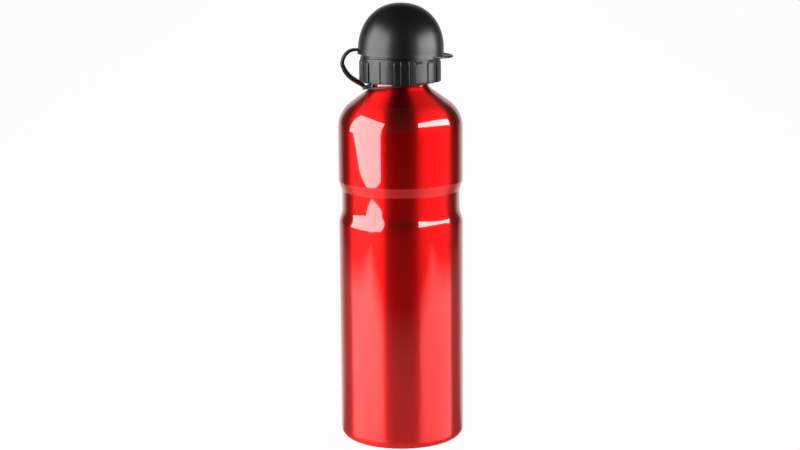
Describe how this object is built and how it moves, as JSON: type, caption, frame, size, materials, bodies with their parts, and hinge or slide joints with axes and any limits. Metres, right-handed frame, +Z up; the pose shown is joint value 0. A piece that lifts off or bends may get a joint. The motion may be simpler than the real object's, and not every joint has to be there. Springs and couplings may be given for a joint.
{
  "type": "water bottle",
  "caption": "Aluminium drinking bottle with a waist groove, a ribbed screw cap, a pull spout and a domed dust cover on a loop strap.",
  "frame": {"origin": "middle of the ring that the bottle stands on", "axes": "+Z up along the bottle's axis, +X towards the dust cover's tab, the strap at -X"},
  "size_m": [0.073, 0.073, 0.2591],
  "materials": {
    "red_lacquered_aluminium": "see-through red lacquer over fine brushed metal, glossy",
    "black_plastic": "moulded polypropylene, satin",
    "soft_black_plastic": "moulded soft polyethylene, satin",
    "white_plastic": "moulded, satin",
    "milky_plastic": "moulded natural polyethylene, soft gloss",
    "silicone": "soft moulded seal"
  },
  "bodies": {
    "bottle": {"bottle_shell": "red_lacquered_aluminium"},
    "seal": {"lip_gasket": "silicone"},
    "cap": {"screw_cap": "black_plastic", "valve_stem": "white_plastic", "spout_seal": "silicone", "vent_valve": "silicone"},
    "spout": {"spout": "milky_plastic"},
    "ring": {"tether_ring": "soft_black_plastic"},
    "strap": {"strap_lower": "soft_black_plastic"},
    "cover": {"dust_cover": "black_plastic", "strap_upper": "soft_black_plastic"}
  },
  "joints": [
    {"name": "cap_rise", "type": "slide", "parent": "bottle", "child": "seal", "axis": [0, 0, 1], "range_m": [0, 0.014]},
    {"name": "cap_unscrew", "type": "hinge", "parent": "seal", "child": "cap", "pos_m": [0, 0, 0.222], "axis": [0, 0, 1], "range_deg": [0, 1440]},
    {"name": "spout_pull", "type": "slide", "parent": "cap", "child": "spout", "axis": [0, 0, 1], "range_m": [0, 0.005]},
    {"name": "ring_turn", "type": "hinge", "parent": "bottle", "child": "ring", "pos_m": [0, 0, 0.21175], "axis": [0, 0, 1], "continuous": true},
    {"name": "cover_rise", "type": "slide", "parent": "ring", "child": "strap", "axis": [0, 0, 1], "range_m": [0, 0.014]},
    {"name": "cover_swing", "type": "hinge", "parent": "strap", "child": "cover", "pos_m": [-0.0349, 0, 0.22327], "axis": [0, -1, 0], "range_deg": [0, 150]}
  ],
  "couplings": [
    {"joint": "cap_rise", "follows": "cap_unscrew", "m_per_rad": 0.00055704},
    {"joint": "cover_rise", "follows": "cap_unscrew", "m_per_rad": 0.00055704}
  ]
}
